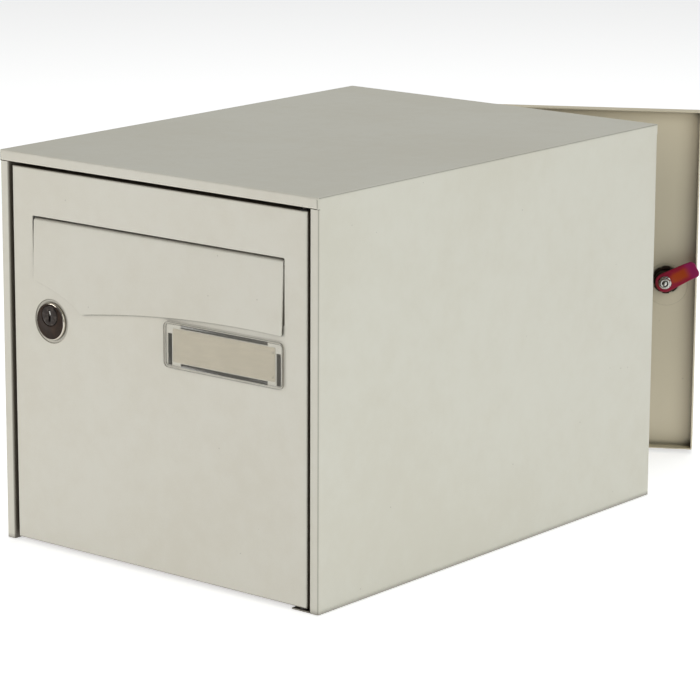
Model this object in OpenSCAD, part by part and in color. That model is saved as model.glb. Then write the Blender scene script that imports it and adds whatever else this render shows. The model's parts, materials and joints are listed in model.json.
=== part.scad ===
// Double-fronted parcel drop box: a folded steel casing with a letter-flap
// door at the front and a collection door at the rear, both on pivot pins.
// Origin: centre of the underside. +X right, +Y to the rear, +Z up.

/* [Casing] */
// Overall width
body_w = 300; // [250:1:400]
// Overall height
body_h = 292; // [240:1:400]
// Overall depth, over the roof's rims
body_d = 405; // [300:1:500]
// Thickness of the folded steel sheet
sheet = 1; // [0.8:0.1:1.3]
// Width of the rim seen round each door
rim_w = 8; // [7:0.5:12]
// Depth of the return folded in behind each rim
return_d = 12; // [10:0.5:16]
// Outside radius of every fold
bend_r = 1.5; // [1.4:0.1:2]
// How far the roof's rims stand proud of the side rims
roof_step = 0.6; // [0:0.1:1.2]
// Open slit where two folded rims meet
corner_slit = 0.3; // [0.2:0.05:0.6]
// Distance of the floor behind the door's face
floor_setback = 20; // [18:1:40]
// Height of the floor's upturned lips
floor_lip = 12; // [8:1:25]

/* [Floor fixing] */
// Spacing of the fixing holes across the width
fix_dx = 200; // [120:5:220]
// Spacing of the fixing holes along the depth
fix_dy = 280; // [150:5:300]
// Diameter of a fixing hole
fix_hole_d = 6.5; // [5:0.5:9]

/* [Doors] */
// Gap between a door and the roof's rim
gap_top = 2.5; // [2:0.1:4]
// Height of a door's lower edge above the underside
gap_bottom = 2.5; // [2.3:0.1:4]
// Gap beside a door at its hinge
gap_hinge = 2.4; // [2.2:0.1:4]
// Gap beside the front door at its lock
gap_front_lock = 4; // [2:0.1:5]
// Gap beside the rear door at its lock
gap_rear_lock = 2.4; // [2:0.1:5]
// How much shallower a door's flanges are than the rims' returns
door_short = 0; // [0:0.5:4]
// Angle at which the rear door stands open
rear_open = 30; // [0:1:100]

/* [Hinges] */
// Distance of a pivot in from the door's edge
pivot_in = 4.5; // [4:0.1:5]
// Distance of a pivot behind the door's face
pivot_back = 4; // [3.6:0.1:4.5]
// Diameter of a hinge pin
pin_d = 4; // [3.4:0.1:4.2]
// Diameter of a pin's riveted spigot
spigot_d = 3; // [2.4:0.1:3.2]
// Diameter of a pin's head or collar
pin_head_d = 5.6; // [5:0.1:5.8]
// Height of an upper pin's head
pin_head_h = 1.5; // [1:0.1:3]
// How far a pin stands past its bush or clip
pin_end = 1; // [0.5:0.1:2]
// Outside diameter of a bush's sleeve
bush_d = 5.6; // [5:0.1:5.8]
// Diameter of a bush's flange
bush_flange_d = 7.4; // [6.6:0.1:7.8]
// Thickness of a bush's flange
bush_flange_t = 0.6; // [0.4:0.1:0.8]
// Length of a bush's sleeve past the sheet
bush_tail = 1.5; // [1:0.1:3]
// Outside diameter of an upper pin's push-on clip
clip_d = 6; // [5.2:0.1:6]
// Thickness of a push-on clip
clip_t = 0.8; // [0.5:0.1:1.2]
// Width of a hinge ear on the floor
ear_w = 16; // [12:1:24]

/* [Letter slot] */
// Distance of the slot below the door's upper edge
slot_drop = 34.5; // [20:0.5:60]
// Height of the slot
slot_h = 47; // [35:1:60]
// Distance of the slot from the door's side edges
slot_side = 19.8; // [16:0.1:30]
// Corner radius of the slot
slot_corner_r = 1; // [0.5:0.1:3]

/* [Letter flap] */
// Thickness of the flap's sheet
flap_t = 1; // [0.8:0.1:1.3]
// Gap above the flap
flap_gap_top = 1.5; // [1:0.1:3]
// Gap at each end of the flap
flap_gap_side = 1; // [0.5:0.1:2]
// Angle at which the closed flap leans out
flap_lean = 2.3; // [1.8:0.1:3.5]
// How far the flap's lock end hangs below the slot
flap_over = 0; // [0:0.5:4]
// Drop of the flap's lowest corner below its lock end
flap_low_drop = 19.4; // [10:0.1:24]
// Drop of the crest of the finger arch below the flap's lock end
flap_arch_drop = 7; // [2:0.5:9]
// Distance of the lowest corner from the lock end
flap_low_x = 47.8; // [40:0.1:60]
// How far along the lock end's curve turns down
flap_turn_x = 34; // [20:1:40]
// Drop at which the lock end's curve turns down
flap_turn_drop = 8; // [2:0.5:12]
// Distance of the arch's crest from the hinge end
flap_crest_in = 33.6; // [0:0.1:60]
// Diameter of the flap's rod
rod_d = 3; // [2.5:0.1:3.5]
// Clearance between the rod and the back of the door's sheet
rod_gap = 0.1; // [0.05:0.05:0.5]
// Thickness of the rolled knuckle round the rod's hole
curl_t = 1.04; // [0.8:0.02:1.3]
// Thickness of a rod bracket
bracket_t = 1.5; // [1:0.1:2]
// Height of a bracket's welded foot
bracket_foot_h = 10; // [6:1:14]
// Length of a bracket's welded foot
bracket_foot_l = 10; // [6:1:12]
// Sheet left round the rod's hole in a bracket
bracket_edge = 2; // [1.5:0.1:3]
// Length of the peened rod end past each bracket
rod_end = 0.8; // [0.3:0.1:2]
// Diameter of a rubber buffer behind the flap
buffer_d = 5.2; // [4:0.1:6]
// Gap left between the resting flap and its buffers
buffer_gap = 0.03; // [0.01:0.01:0.1]
// Distance of one buffer in from the flap's lock end
buffer_in_lock = 60; // [20:1:100]
// Distance of the other buffer in from the flap's hinge end
buffer_in_hinge = 14; // [6:1:40]

/* [Locks] */
// Distance of the front lock from the door's free edge
front_lock_in = 37.3; // [30:0.1:45]
// Distance of the front lock's head below the letter slot
front_lock_drop = 28.8; // [20:0.1:45]
// Distance of the rear lock from the door's free edge
rear_lock_in = 25; // [22:0.1:35]
// Diameter of a lock's head
head_d = 27.8; // [26:0.1:31]
// How far a lock's head stands proud of the door
head_proud = 1.8; // [1:0.1:3]
// Rounding of a lock's head
head_round = 1.3; // [0.5:0.1:1.6]
// Gap between a lock's head and the rim of its pressed dish
dish_gap = 2; // [1:0.1:4]
// Depth of the pressed dish
dish_depth = 0.8; // [0.4:0.1:1.2]
// Diameter of a lock's barrel
barrel_d = 18; // [17.6:0.1:20]
// Depth of the flats along the barrel
barrel_flat = 1; // [0.4:0.1:1.1]
// Height of the plug above the head's centre
plug_rise = 4.5; // [0:0.1:5]
// Diameter of the plug's face
plug_face_d = 15.1; // [13.5:0.1:15.6]
// Diameter of the plug's body
plug_body_d = 13; // [10:0.1:13.4]
// How far the plug's face stands proud of the head
plug_proud = 0.4; // [0:0.1:1]
// Length of the plug's face
plug_face_l = 4.2; // [3:0.1:6]
// Height of the keyway
key_h = 8.6; // [6:0.1:9.5]
// Width of the keyway
key_w = 1.7; // [1.2:0.1:2.4]
// Depth of the keyway
key_l = 9; // [4:0.5:11]
// Side of the plug's square tail
tail_w = 8; // [6:0.1:9]
// Diameter of the plug's threaded end
stud_d = 4; // [3:0.1:5]
// Width of the wall of a lock's slotted ring nut
ring_nut_wall = 2.2; // [1.8:0.1:3]
// Thickness of a ring nut
ring_nut_t = 3.2; // [2:0.1:4]
// Notches round a ring nut
ring_nut_notches = 8; // [4:1:12]
// Depth of a ring nut's notch
ring_nut_notch = 1; // [0.5:0.1:1.2]
// Width of a ring nut's notch
ring_nut_notch_w = 3; // [2:0.1:4]

/* [Cams] */
// Thickness of a cam
cam_t = 2; // [1.5:0.1:3]
// Radius of a cam's round end
cam_base_r = 7.8; // [7:0.1:9]
// Half width of a cam at its tip
cam_tip_half = 6.9; // [4:0.1:7.5]
// Corner radius of a cam's tip
cam_tip_r = 4; // [2:0.1:4]
// Length of the front cam from the plug's axis
front_cam_l = 36; // [32:0.5:40]
// Length of the rear cam from the plug's axis
rear_cam_l = 29; // [27:0.1:30]
// Length of a cam's bent tip
cam_bent_l = 9; // [5:0.5:12]
// Angle of a cam's bent tip
cam_bend = 24; // [0:1:40]
// Angle of the rear cam above the door's free edge
rear_cam_rise = 28; // [20:0.1:90]
// Diameter of the cam nut's flange
cam_nut_d = 10.4; // [8:0.1:12]
// Thickness of the cam nut's flange
cam_nut_flange_t = 1.2; // [0.8:0.1:2]
// Width across the cam nut's flats
cam_nut_af = 8; // [7:0.1:9]
// Height of the cam nut
cam_nut_h = 3.8; // [3:0.1:6]

/* [Strikes] */
// Thickness of a strike
strike_t = 1.5; // [1:0.1:2]
// Length of a strike's welded leg
strike_leg = 8; // [5:0.5:9]
// How far the front strike reaches in from the rim
front_strike_reach = 14; // [10:0.5:18]
// Height of the front strike
front_strike_h = 24; // [18:1:40]
// How far the rear strike reaches behind the door's edge
rear_strike_reach = 6; // [4:0.5:8]
// Height of the rear strike
rear_strike_h = 12; // [8:1:24]
// Distance of the rear strike's top below the lock's axis
rear_strike_drop = 2.5; // [2:0.1:5]

/* [Name holder] */
// Width of the clear cover
name_w = 110; // [90:1:115]
// Height of the clear cover
name_h = 33; // [28:0.5:40]
// Distance of the cover from the door's hinge edge
name_in = 20; // [16:0.1:40]
// Height of the cover's centre above the lock head's centre
name_rise = 0.2; // [-4:0.1:4]
// Corner radius of the cover
name_corner_r = 4; // [1:0.5:6]
// How far the cover stands proud of the door
name_proud = 1.8; // [1.2:0.1:3]
// Thickness of the cover's window
name_window_t = 1; // [0.6:0.1:1.2]
// Width of the cover's edge wall
name_wall = 1.6; // [1:0.1:2]
// Length of the two clip slots
clip_slot_l = 80; // [50:1:85]
// Height of the two clip slots
clip_slot_h = 2.6; // [2:0.1:3]
// Distance of each clip slot from the holder's middle
clip_slot_off = 13.9; // [12:0.1:14]
// Width of the two side slots
side_slot_w = 4; // [2:0.1:4.5]
// Height of the two side slots
side_slot_h = 22.6; // [16:0.1:24]
// Distance of each side slot from the holder's middle
side_slot_off = 50; // [40:0.1:51]
// Distance of the side slots below the holder's middle
side_slot_drop = 3.2; // [0:0.1:4]
// Thickness of a clip tongue
tongue_t = 1.4; // [1:0.1:1.6]
// Overhang of a clip tongue's hook
tongue_hook = 0.8; // [0.4:0.1:1]
// Thickness of a clip tongue's hook
tongue_hook_t = 1; // [0.6:0.1:1.5]
// Gap at each end of a clip tongue
tongue_end_gap = 1; // [0.3:0.1:3]
// Width of the name card
card_w = 94; // [70:1:95]
// Height of the name card
card_h = 24; // [18:0.5:24.5]
// Thickness of the name card
card_t = 0.3; // [0.2:0.05:0.5]

/* [Fits] */
// Radial clearance of a pin or rod that something turns on
run_fit = 0.06; // [0.03:0.01:0.09]
// Clearance of a plug, thread or square that only slips together
slip_fit = 0.05; // [0.02:0.01:0.1]
// Clearance between faces that pass each other
pass_gap = 0.3; // [0.2:0.05:0.4]
// Clearance under a hinge bush
thrust_gap = 0.1; // [0.05:0.05:0.3]

/* [Hidden] */
$fn = 64;
fine_fn = 720;
cut = 1;
inset = 0.05;
curve_steps = 8;

ivory = [0.86, 0.84, 0.78];
steel = [0.72, 0.73, 0.74];
lock_black = [0.08, 0.07, 0.07];
cam_red = [0.55, 0.05, 0.07];
nylon = [0.85, 0.85, 0.82];
rubber = [0.12, 0.12, 0.12];
clear = [0.9, 0.92, 0.93, 0.35];
card = [0.78, 0.74, 0.66];

// Casing
side_d = body_d - 2 * roof_step;
side_h = body_h - rim_w - corner_slit;
inner_w = body_w - 2 * sheet;
face_y = -side_d / 2;
mouth_x = body_w / 2 - rim_w;
floor_d = side_d - 2 * floor_setback;

// Doors, in the front door's place; the rear one is turned half round
door_z0 = gap_bottom;
door_z1 = body_h - rim_w - gap_top;
door_h = door_z1 - door_z0;
door_d = return_d - door_short;
door_x1 = mouth_x - gap_hinge;
front_x0 = -mouth_x + gap_front_lock;
rear_x0 = -mouth_x + gap_rear_lock;
pivot_x = door_x1 - pivot_in;
pivot_y = face_y + pivot_back;
bore_d = pin_d + 2 * run_fit;

// Letter slot and flap
slot_x0 = front_x0 + slot_side;
slot_x1 = door_x1 - slot_side;
slot_z1 = door_z1 - slot_drop;
slot_z0 = slot_z1 - slot_h;
flap_x0 = slot_x0 + flap_gap_side;
flap_x1 = slot_x1 - flap_gap_side;
flap_w = flap_x1 - flap_x0;
curl_r = rod_d / 2 + run_fit + curl_t;
rod_z = slot_z1 - flap_gap_top - curl_r;
rod_y = face_y + sheet + rod_gap + rod_d / 2;
flap_h_lock = slot_h - flap_gap_top + flap_over;
flap_h_low = flap_h_lock + flap_low_drop;
flap_h_arch = flap_h_lock + flap_arch_drop;
arch_drop = flap_low_drop - flap_arch_drop;
arch_run = flap_w - flap_crest_in - flap_low_x;
arch_r = (arch_run * arch_run + arch_drop * arch_drop) / (2 * arch_drop);
rod_over = bracket_t + rod_end;
bracket_w = rod_gap + rod_d + bracket_edge;
buffer_z = slot_z0 - buffer_d / 2 - cut;
// rear of the leaning flap at a buffer's top, from the rod
flap_rear_y = (flap_t - curl_r) / cos(flap_lean) + (slot_z0 - cut - rod_z) * tan(flap_lean);
buffer_t = round(100 * (face_y - rod_y - flap_rear_y - buffer_gap)) / 100;

// Locks
front_lock_x = front_x0 + front_lock_in;
front_head_z = slot_z0 - front_lock_drop;
front_lock_z = front_head_z + plug_rise;
rear_lock_x = rear_x0 + rear_lock_in;
rear_lock_z = (door_z0 + door_z1) / 2;
strike_y0 = return_d + pass_gap;
strike_y1 = strike_y0 + strike_t;
cam_y0 = strike_y1 + pass_gap;
cam_y1 = cam_y0 + cam_t;
barrel_end = cam_y0 - pass_gap;
dish_back = dish_depth + sheet;
dish_d = head_d + 2 * dish_gap;

// Name holder
name_x = door_x1 - name_in - name_w / 2;
name_z = front_head_z + name_rise;

// ---- helpers ----

// Draws a flat shape in X and Z and gives it depth from y0 to y1
module along_y(y0, y1) {
  translate([0, y1, 0]) rotate([90, 0, 0]) linear_extrude(y1 - y0) children();
}

// Turns a shape drawn round Z so that it runs along +Y
module round_y() {
  rotate([-90, 0, 0]) children();
}

// Turns a shape drawn round Z so that it runs along +X
module round_x() {
  rotate([0, 90, 0]) children();
}

module mirrored_x() {
  children();
  mirror([1, 0, 0]) children();
}

module mirrored_y() {
  children();
  mirror([0, 1, 0]) children();
}

// Rectangle round the origin with true round corners
module round_rect(w, h, r) {
  square([w - 2 * r, h], center = true);
  square([w, h - 2 * r], center = true);
  for (x = [-1, 1], y = [-1, 1])
    translate([x * (w / 2 - r), y * (h / 2 - r)]) circle(r);
}

// Rectangle from the origin, round at its two corners on the X axis
module front_round(w, d, r) {
  translate([0, r]) square([w, d - r]);
  translate([r, 0]) square([w - 2 * r, d]);
  for (x = [r, w - r]) translate([x, r]) circle(r);
}

// Block whose front edges are all rounded
module front_round_block(w, h, d, r) {
  intersection() {
    linear_extrude(h) front_round(w, d, r);
    translate([w, 0, 0]) rotate([0, -90, 0]) linear_extrude(w) front_round(h, d, r);
  }
}

// Quarter of a folded sheet's bend, in the corner nearest the origin
module fold_corner() {
  intersection() {
    square(bend_r);
    translate([bend_r, bend_r]) difference() {
      circle(bend_r);
      circle(bend_r - sheet);
    }
  }
}

// Section of a rim and its return: X in from the outer wall, Y in from the face
module rim_section() {
  fold_corner();
  translate([bend_r, 0]) square([rim_w - 2 * bend_r, sheet]);
  translate([rim_w, 0]) mirror([1, 0]) fold_corner();
  translate([rim_w - sheet, bend_r]) square([sheet, return_d - bend_r]);
}

// The rear half of the box repeats the front half, turned half round
module at_rear() {
  rotate([0, 0, 180]) children();
}

// Swings what is drawn in the closed door's place about the door's pivot
module swung(angle) {
  translate([pivot_x, pivot_y, 0]) rotate([0, 0, angle]) translate([-pivot_x, -pivot_y, 0])
    children();
}

module rear_door_place() {
  at_rear() swung(rear_open) children();
}

// ---- casing ----

module wall_and_rims() {
  translate([-body_w / 2, face_y, 0]) linear_extrude(side_h) {
    rim_section();
    translate([0, side_d]) mirror([0, 1]) rim_section();
    translate([0, bend_r]) square([sheet, side_d - 2 * bend_r]);
  }
}

// Outline of the box seen from the front, open at the bottom
module front_outline(w, h, r) {
  translate([w / 2, h]) rotate(180) front_round(w, h, r);
}

module roof_rim() {
  translate([body_w / 2, -body_d / 2, body_h]) rotate([0, -90, 0]) mirror([1, 0, 0])
    linear_extrude(body_w) rim_section();
}

module roof_and_shoulders() {
  difference() {
    union() {
      along_y(-side_d / 2 + bend_r, side_d / 2 - bend_r) front_outline(body_w, body_h, bend_r);
      translate([-body_w / 2, -body_d / 2, body_h - rim_w]) cube([body_w, body_d, rim_w]);
    }
    along_y(-body_d / 2 - cut, body_d / 2 + cut) translate([0, -cut])
      front_outline(inner_w, body_h - sheet + cut, bend_r - sheet);
  }
}

module casing_envelope() {
  intersection() {
    along_y(-body_d / 2, body_d / 2) front_outline(body_w, body_h, bend_r);
    linear_extrude(body_h) round_rect(body_w, body_d, bend_r);
    translate([body_w / 2, 0, 0]) rotate([0, -90, 0]) linear_extrude(body_w)
      translate([body_h, body_d / 2]) rotate(180) roof_side_outline();
  }
}

// Side view of the box, round along the roof's front and rear edges
module roof_side_outline() {
  translate([bend_r, 0]) square([body_h - bend_r, body_d]);
  translate([0, bend_r]) square([body_h, body_d - 2 * bend_r]);
  for (y = [bend_r, body_d - bend_r]) translate([bend_r, y]) circle(bend_r);
}

module rim_end_slit() {
  slit_x = body_w / 2 - sheet - corner_slit;
  translate([slit_x, -body_d / 2 - cut, body_h - rim_w - cut])
    cube([corner_slit, sheet + cut, rim_w - bend_r + cut]);
}

module hinge_hole() {
  translate([pivot_x, pivot_y, 0]) cylinder(d = pin_d, h = body_h - bend_r);
}

module casing_wrap() {
  color(ivory) {
    mirrored_x() wall_and_rims();
    difference() {
      intersection() {
        casing_envelope();
        union() {
          roof_and_shoulders();
          mirrored_y() roof_rim();
        }
      }
      mirrored_x() mirrored_y() rim_end_slit();
      hinge_hole();
      at_rear() hinge_hole();
    }
  }
}

module floor_ear() {
  translate([mouth_x - ear_w, face_y + pass_gap, 0]) cube([ear_w, floor_setback, sheet]);
}

module ear_hole() {
  translate([pivot_x, pivot_y, -cut]) cylinder(d = spigot_d, h = sheet + 2 * cut);
}

module floor_panel() {
  color(ivory) difference() {
    union() {
      translate([-inner_w / 2, -floor_d / 2, 0]) difference() {
        cube([inner_w, floor_d, floor_lip]);
        translate([sheet, sheet, sheet]) cube([inner_w - 2 * sheet, floor_d - 2 * sheet, floor_lip]);
      }
      floor_ear();
      at_rear() floor_ear();
    }
    ear_hole();
    at_rear() ear_hole();
    for (x = [-1, 1], y = [-1, 1]) translate([x * fix_dx / 2, y * fix_dy / 2, -cut])
      cylinder(d = fix_hole_d, h = sheet + 2 * cut);
  }
}

// ---- hinges ----

// Lower pin: a spigot in the floor's ear, a collar and the shank in the bush
module lower_pin() {
  collar_z1 = door_z0 - bush_flange_t - thrust_gap;
  translate([pivot_x, pivot_y, 0]) {
    cylinder(d = spigot_d, h = sheet);
    translate([0, 0, sheet]) cylinder(d = pin_head_d, h = collar_z1 - sheet);
    translate([0, 0, collar_z1]) cylinder(d = pin_d, h = door_z0 + sheet + bush_tail - collar_z1 + pin_end);
  }
}

// Upper pin: pushed up through the bush and the roof's return, held by a clip
module upper_pin() {
  head_z1 = door_z1 - sheet - bush_tail - pass_gap;
  clip_z0 = body_h - rim_w + sheet;
  translate([pivot_x, pivot_y, head_z1]) {
    translate([0, 0, -pin_head_h]) cylinder(d = pin_head_d, h = pin_head_h);
    cylinder(d = pin_d, h = clip_z0 + clip_t + pin_end - head_z1);
  }
}

module hinge_pins() {
  color(steel) {
    lower_pin();
    upper_pin();
  }
}

module front_hinge_pins() {
  hinge_pins();
}

module rear_hinge_pins() {
  at_rear() hinge_pins();
}

module hinge_clip() {
  translate([pivot_x, pivot_y, body_h - rim_w + sheet]) difference() {
    cylinder(d = clip_d, h = clip_t);
    translate([0, 0, -cut]) cylinder(d = pin_d, h = clip_t + 2 * cut);
  }
}

module hinge_clips() {
  color(steel) {
    hinge_clip();
    at_rear() hinge_clip();
  }
}

// Bush standing on its flange, its sleeve upwards
module bush() {
  difference() {
    union() {
      cylinder(d = bush_flange_d, h = bush_flange_t);
      cylinder(d = bush_d, h = bush_flange_t + sheet + bush_tail);
    }
    translate([0, 0, -cut]) cylinder(d = bore_d, h = bush_flange_t + sheet + bush_tail + 2 * cut);
  }
}

module hinge_bushes() {
  color(nylon) translate([pivot_x, pivot_y, 0]) {
    translate([0, 0, door_z0 - bush_flange_t]) bush();
    translate([0, 0, door_z1 + bush_flange_t]) mirror([0, 0, 1]) bush();
  }
}

module front_hinge_bushes() {
  hinge_bushes();
}

module rear_hinge_bushes() {
  rear_door_place() hinge_bushes();
}

// ---- strikes ----

// Angle welded behind the rim on the lock side; z0 is its lower end
module strike(reach, z0, h) {
  leg_x = -body_w / 2 + rim_w - sheet - strike_t;
  translate([leg_x, face_y, z0]) {
    translate([0, strike_y1 - strike_leg, 0]) cube([strike_t, strike_leg, h]);
    translate([0, strike_y0, 0]) cube([strike_t + sheet + reach, strike_t, h]);
  }
}

module front_strike() {
  color(steel) strike(front_strike_reach, front_lock_z - front_strike_h / 2, front_strike_h);
}

module rear_strike() {
  color(steel) at_rear()
    strike(gap_rear_lock + rear_strike_reach, rear_lock_z - rear_strike_drop - rear_strike_h,
           rear_strike_h);
}

// ---- doors ----

// Folded pan with the two hinge holes; x0 is its free edge
module door_pan(x0) {
  w = door_x1 - x0;
  difference() {
    translate([x0, face_y, door_z0]) difference() {
      front_round_block(w, door_h, door_d, bend_r);
      translate([sheet, sheet, sheet])
        front_round_block(w - 2 * sheet, door_h - 2 * sheet, door_d, bend_r - sheet);
    }
    translate([pivot_x, pivot_y, 0]) cylinder(d = bush_d, h = body_h);
  }
}

module lock_place(x, z) {
  translate([x, face_y, z]) children();
}

// Pressed dish, with the barrel's hole, put into a door's face
module with_dish(x, z) {
  difference() {
    union() {
      children();
      lock_place(x, z) translate([0, 0, -plug_rise]) along_y(0, dish_back)
        circle(dish_d / 2 + sheet);
    }
    lock_place(x, z) translate([0, 0, -plug_rise]) along_y(-cut, dish_depth) circle(dish_d / 2);
    lock_place(x, z) along_y(-cut, dish_back + cut) barrel_section(slip_fit);
  }
}

module barrel_section(grow) {
  intersection() {
    circle(barrel_d / 2 + grow);
    square([barrel_d + 2 * cut, barrel_d - 2 * barrel_flat + 2 * grow], center = true);
  }
}

module name_slots() {
  translate([name_x, name_z]) {
    for (z = [-1, 1]) translate([0, z * clip_slot_off])
      square([clip_slot_l, clip_slot_h], center = true);
    for (x = [-1, 1]) translate([x * side_slot_off, -side_slot_drop])
      square([side_slot_w, side_slot_h], center = true);
  }
}

module letter_slot() {
  translate([(slot_x0 + slot_x1) / 2, (slot_z0 + slot_z1) / 2])
    round_rect(slot_x1 - slot_x0, slot_h, slot_corner_r);
}

module front_door_panel() {
  color(ivory) difference() {
    with_dish(front_lock_x, front_lock_z) door_pan(front_x0);
    along_y(face_y - cut, face_y + sheet + cut) {
      letter_slot();
      name_slots();
    }
  }
}

module rear_door_panel() {
  color(ivory) rear_door_place() with_dish(rear_lock_x, rear_lock_z) door_pan(rear_x0);
}

// ---- letter flap ----

function curve_point(t) = [
  2 * t * (1 - t) * flap_turn_x + t * t * flap_low_x,
  -flap_h_lock - 2 * t * (1 - t) * flap_turn_drop - t * t * flap_low_drop
];

// Flap from its upper edge down, X from its lock end
module flap_outline() {
  difference() {
    polygon(concat(
      [[0, -curl_r], [flap_w, -curl_r], [flap_w, -flap_h_low]],
      [for (i = [curve_steps:-1:0]) curve_point(i / curve_steps)]
    ));
    translate([flap_w - flap_crest_in, -flap_h_arch - arch_r]) circle(arch_r, $fn = fine_fn);
  }
}

module letter_flap() {
  color(ivory) translate([flap_x0, rod_y, rod_z]) rotate([-flap_lean, 0, 0]) difference() {
    union() {
      along_y(-curl_r, -curl_r + flap_t) translate([0, curl_r]) flap_outline();
      round_x() cylinder(r = curl_r, h = flap_w);
    }
    translate([-cut, 0, 0]) round_x() cylinder(d = rod_d + 2 * run_fit, h = flap_w + 2 * cut);
  }
}

// Ear and welded foot that hold the rod at the slot's lock end
module flap_bracket() {
  ear_y0 = -rod_gap - rod_d / 2;
  edge = rod_d / 2 + bracket_edge;
  difference() {
    union() {
      translate([-bracket_t, ear_y0, -edge]) cube([bracket_t, bracket_w, 2 * edge + bracket_foot_h]);
      translate([-bracket_foot_l, ear_y0, edge]) cube([bracket_foot_l, bracket_t, bracket_foot_h]);
    }
    translate([-bracket_foot_l - cut, 0, 0]) round_x() cylinder(d = rod_d, h = bracket_foot_l + 2 * cut);
  }
}

module at_rod_end(x) {
  translate([x, rod_y, rod_z]) children();
}

module flap_brackets() {
  color(steel) {
    at_rod_end(slot_x0) flap_bracket();
    at_rod_end(slot_x1) mirror([1, 0, 0]) flap_bracket();
  }
}

module flap_rod() {
  color(steel) at_rod_end(slot_x0 - rod_over) round_x()
    cylinder(d = rod_d, h = slot_x1 - slot_x0 + 2 * rod_over);
}

module flap_buffers() {
  color(rubber) for (x = [flap_x0 + buffer_in_lock, flap_x1 - buffer_in_hinge])
    translate([x, face_y - buffer_t, buffer_z]) round_y() cylinder(d = buffer_d, h = buffer_t);
}

// ---- locks, drawn round the plug's axis with the door's face at Y = 0 ----

module head_section() {
  r = head_d / 2;
  translate([0, -head_proud]) {
    square([r - head_round, head_proud + dish_depth]);
    translate([0, head_round]) square([r, head_proud + dish_depth - head_round]);
    translate([r - head_round, head_round]) circle(head_round);
  }
}

module lock_housing() {
  bore_r = plug_face_d / 2 + slip_fit;
  face_back = plug_face_l - head_proud - plug_proud + slip_fit;
  color(lock_black) difference() {
    union() {
      translate([0, 0, -plug_rise]) round_y() rotate_extrude() head_section();
      along_y(dish_depth, barrel_end) barrel_section(0);
    }
    translate([0, -head_proud - cut, 0]) round_y() cylinder(r = bore_r, h = face_back + head_proud + cut);
    round_y() cylinder(d = plug_body_d + 2 * slip_fit, h = barrel_end + cut);
  }
}

module ring_nut() {
  color(lock_black) along_y(dish_back, dish_back + ring_nut_t) difference() {
    circle(barrel_d / 2 + ring_nut_wall);
    circle(d = barrel_d + 2 * slip_fit);
    for (i = [1:ring_nut_notches])
      rotate((i + 0.5) * 360 / ring_nut_notches)
        translate([barrel_d / 2 + ring_nut_wall, 0])
          square([2 * ring_nut_notch, ring_nut_notch_w], center = true);
  }
}

module lock_plug() {
  face_y0 = -head_proud - plug_proud;
  color(steel) difference() {
    union() {
      along_y(face_y0, face_y0 + plug_face_l) circle(d = plug_face_d);
      along_y(face_y0 + cut, barrel_end) circle(d = plug_body_d);
      along_y(face_y0 + cut, cam_y1) square(tail_w, center = true);
      along_y(face_y0 + cut, cam_y1 + cam_nut_h) circle(d = stud_d);
    }
    along_y(face_y0 - cut, face_y0 + key_l) square([key_w, key_h], center = true);
  }
}

// Unit normal of the line that touches two circles on their right side:
// d runs from the first centre to the second, dr is the first radius less the second
function tangent_normal(d, dr) =
  let (l = norm(d), k = dr / l) (k * d + sqrt(1 - k * k) * [-d.y, d.x]) / l;

// Thick plate of the cam's outline, pointing down; its straight edges lie a
// little inside the lines that touch its arcs
module cam_blank(l) {
  corner = [cam_tip_half - cam_tip_r, cam_tip_r - l];
  normal = tangent_normal(corner, cam_base_r - cam_tip_r);
  right = [
    (cam_base_r - inset) * normal, corner + (cam_tip_r - inset) * normal, [corner.x, inset - l]
  ];
  back = cam_y1 + cam_bent_l;
  along_y(0, back) circle(cam_base_r);
  along_y(0, back) polygon(concat(right, [for (i = [2:-1:0]) [-right[i].x, right[i].y]]));
  for (x = [-corner.x, corner.x]) translate([x, 0, corner.y]) along_y(0, back) circle(cam_tip_r);
}

// Side view of the cam's strip: X along the cam, Y along the plug's axis
module cam_strip(l) {
  x0 = -cam_base_r - cut;
  bend_x = l - cam_bent_l;
  tip = [bend_x, cam_y0] + 2 * cam_bent_l * [cos(cam_bend), sin(cam_bend)];
  polygon([
    [x0, cam_y0], [bend_x, cam_y0], tip, tip + cam_t * [-sin(cam_bend), cos(cam_bend)],
    [bend_x - cam_t * tan(cam_bend / 2), cam_y1], [x0, cam_y1]
  ]);
}

module cam(l) {
  color(cam_red) difference() {
    intersection() {
      cam_blank(l);
      rotate([0, 90, 0]) translate([0, 0, -cam_base_r - cut])
        linear_extrude(2 * (cam_base_r + cut)) cam_strip(l);
    }
    along_y(0, cam_y1 + cut) square(tail_w + 2 * slip_fit, center = true);
  }
}

module cam_nut() {
  color(steel) difference() {
    union() {
      along_y(cam_y1, cam_y1 + cam_nut_flange_t) circle(d = cam_nut_d);
      along_y(cam_y1, cam_y1 + cam_nut_h) circle(r = cam_nut_af / 2 / cos(30), $fn = 6);
    }
    along_y(cam_y1 - cut, cam_y1 + cam_nut_h + cut) circle(d = stud_d + 2 * slip_fit);
  }
}

module front_lock_place() {
  lock_place(front_lock_x, front_lock_z) children();
}

module rear_lock_place() {
  rear_door_place() lock_place(rear_lock_x, rear_lock_z) children();
}

module rear_turn() {
  rotate([0, 90 + rear_cam_rise, 0]) children();
}

module front_lock_housing() {
  front_lock_place() lock_housing();
}

module front_lock_nut() {
  front_lock_place() ring_nut();
}

module front_lock_plug() {
  front_lock_place() lock_plug();
}

module front_lock_cam() {
  front_lock_place() cam(front_cam_l);
}

module front_cam_nut() {
  front_lock_place() cam_nut();
}

module rear_lock_housing() {
  rear_lock_place() lock_housing();
}

module rear_lock_nut() {
  rear_lock_place() ring_nut();
}

module rear_lock_plug() {
  rear_lock_place() rear_turn() lock_plug();
}

module rear_lock_cam() {
  rear_lock_place() rear_turn() cam(rear_cam_l);
}

module rear_cam_nut() {
  rear_lock_place() rear_turn() cam_nut();
}

// ---- name holder ----

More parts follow.
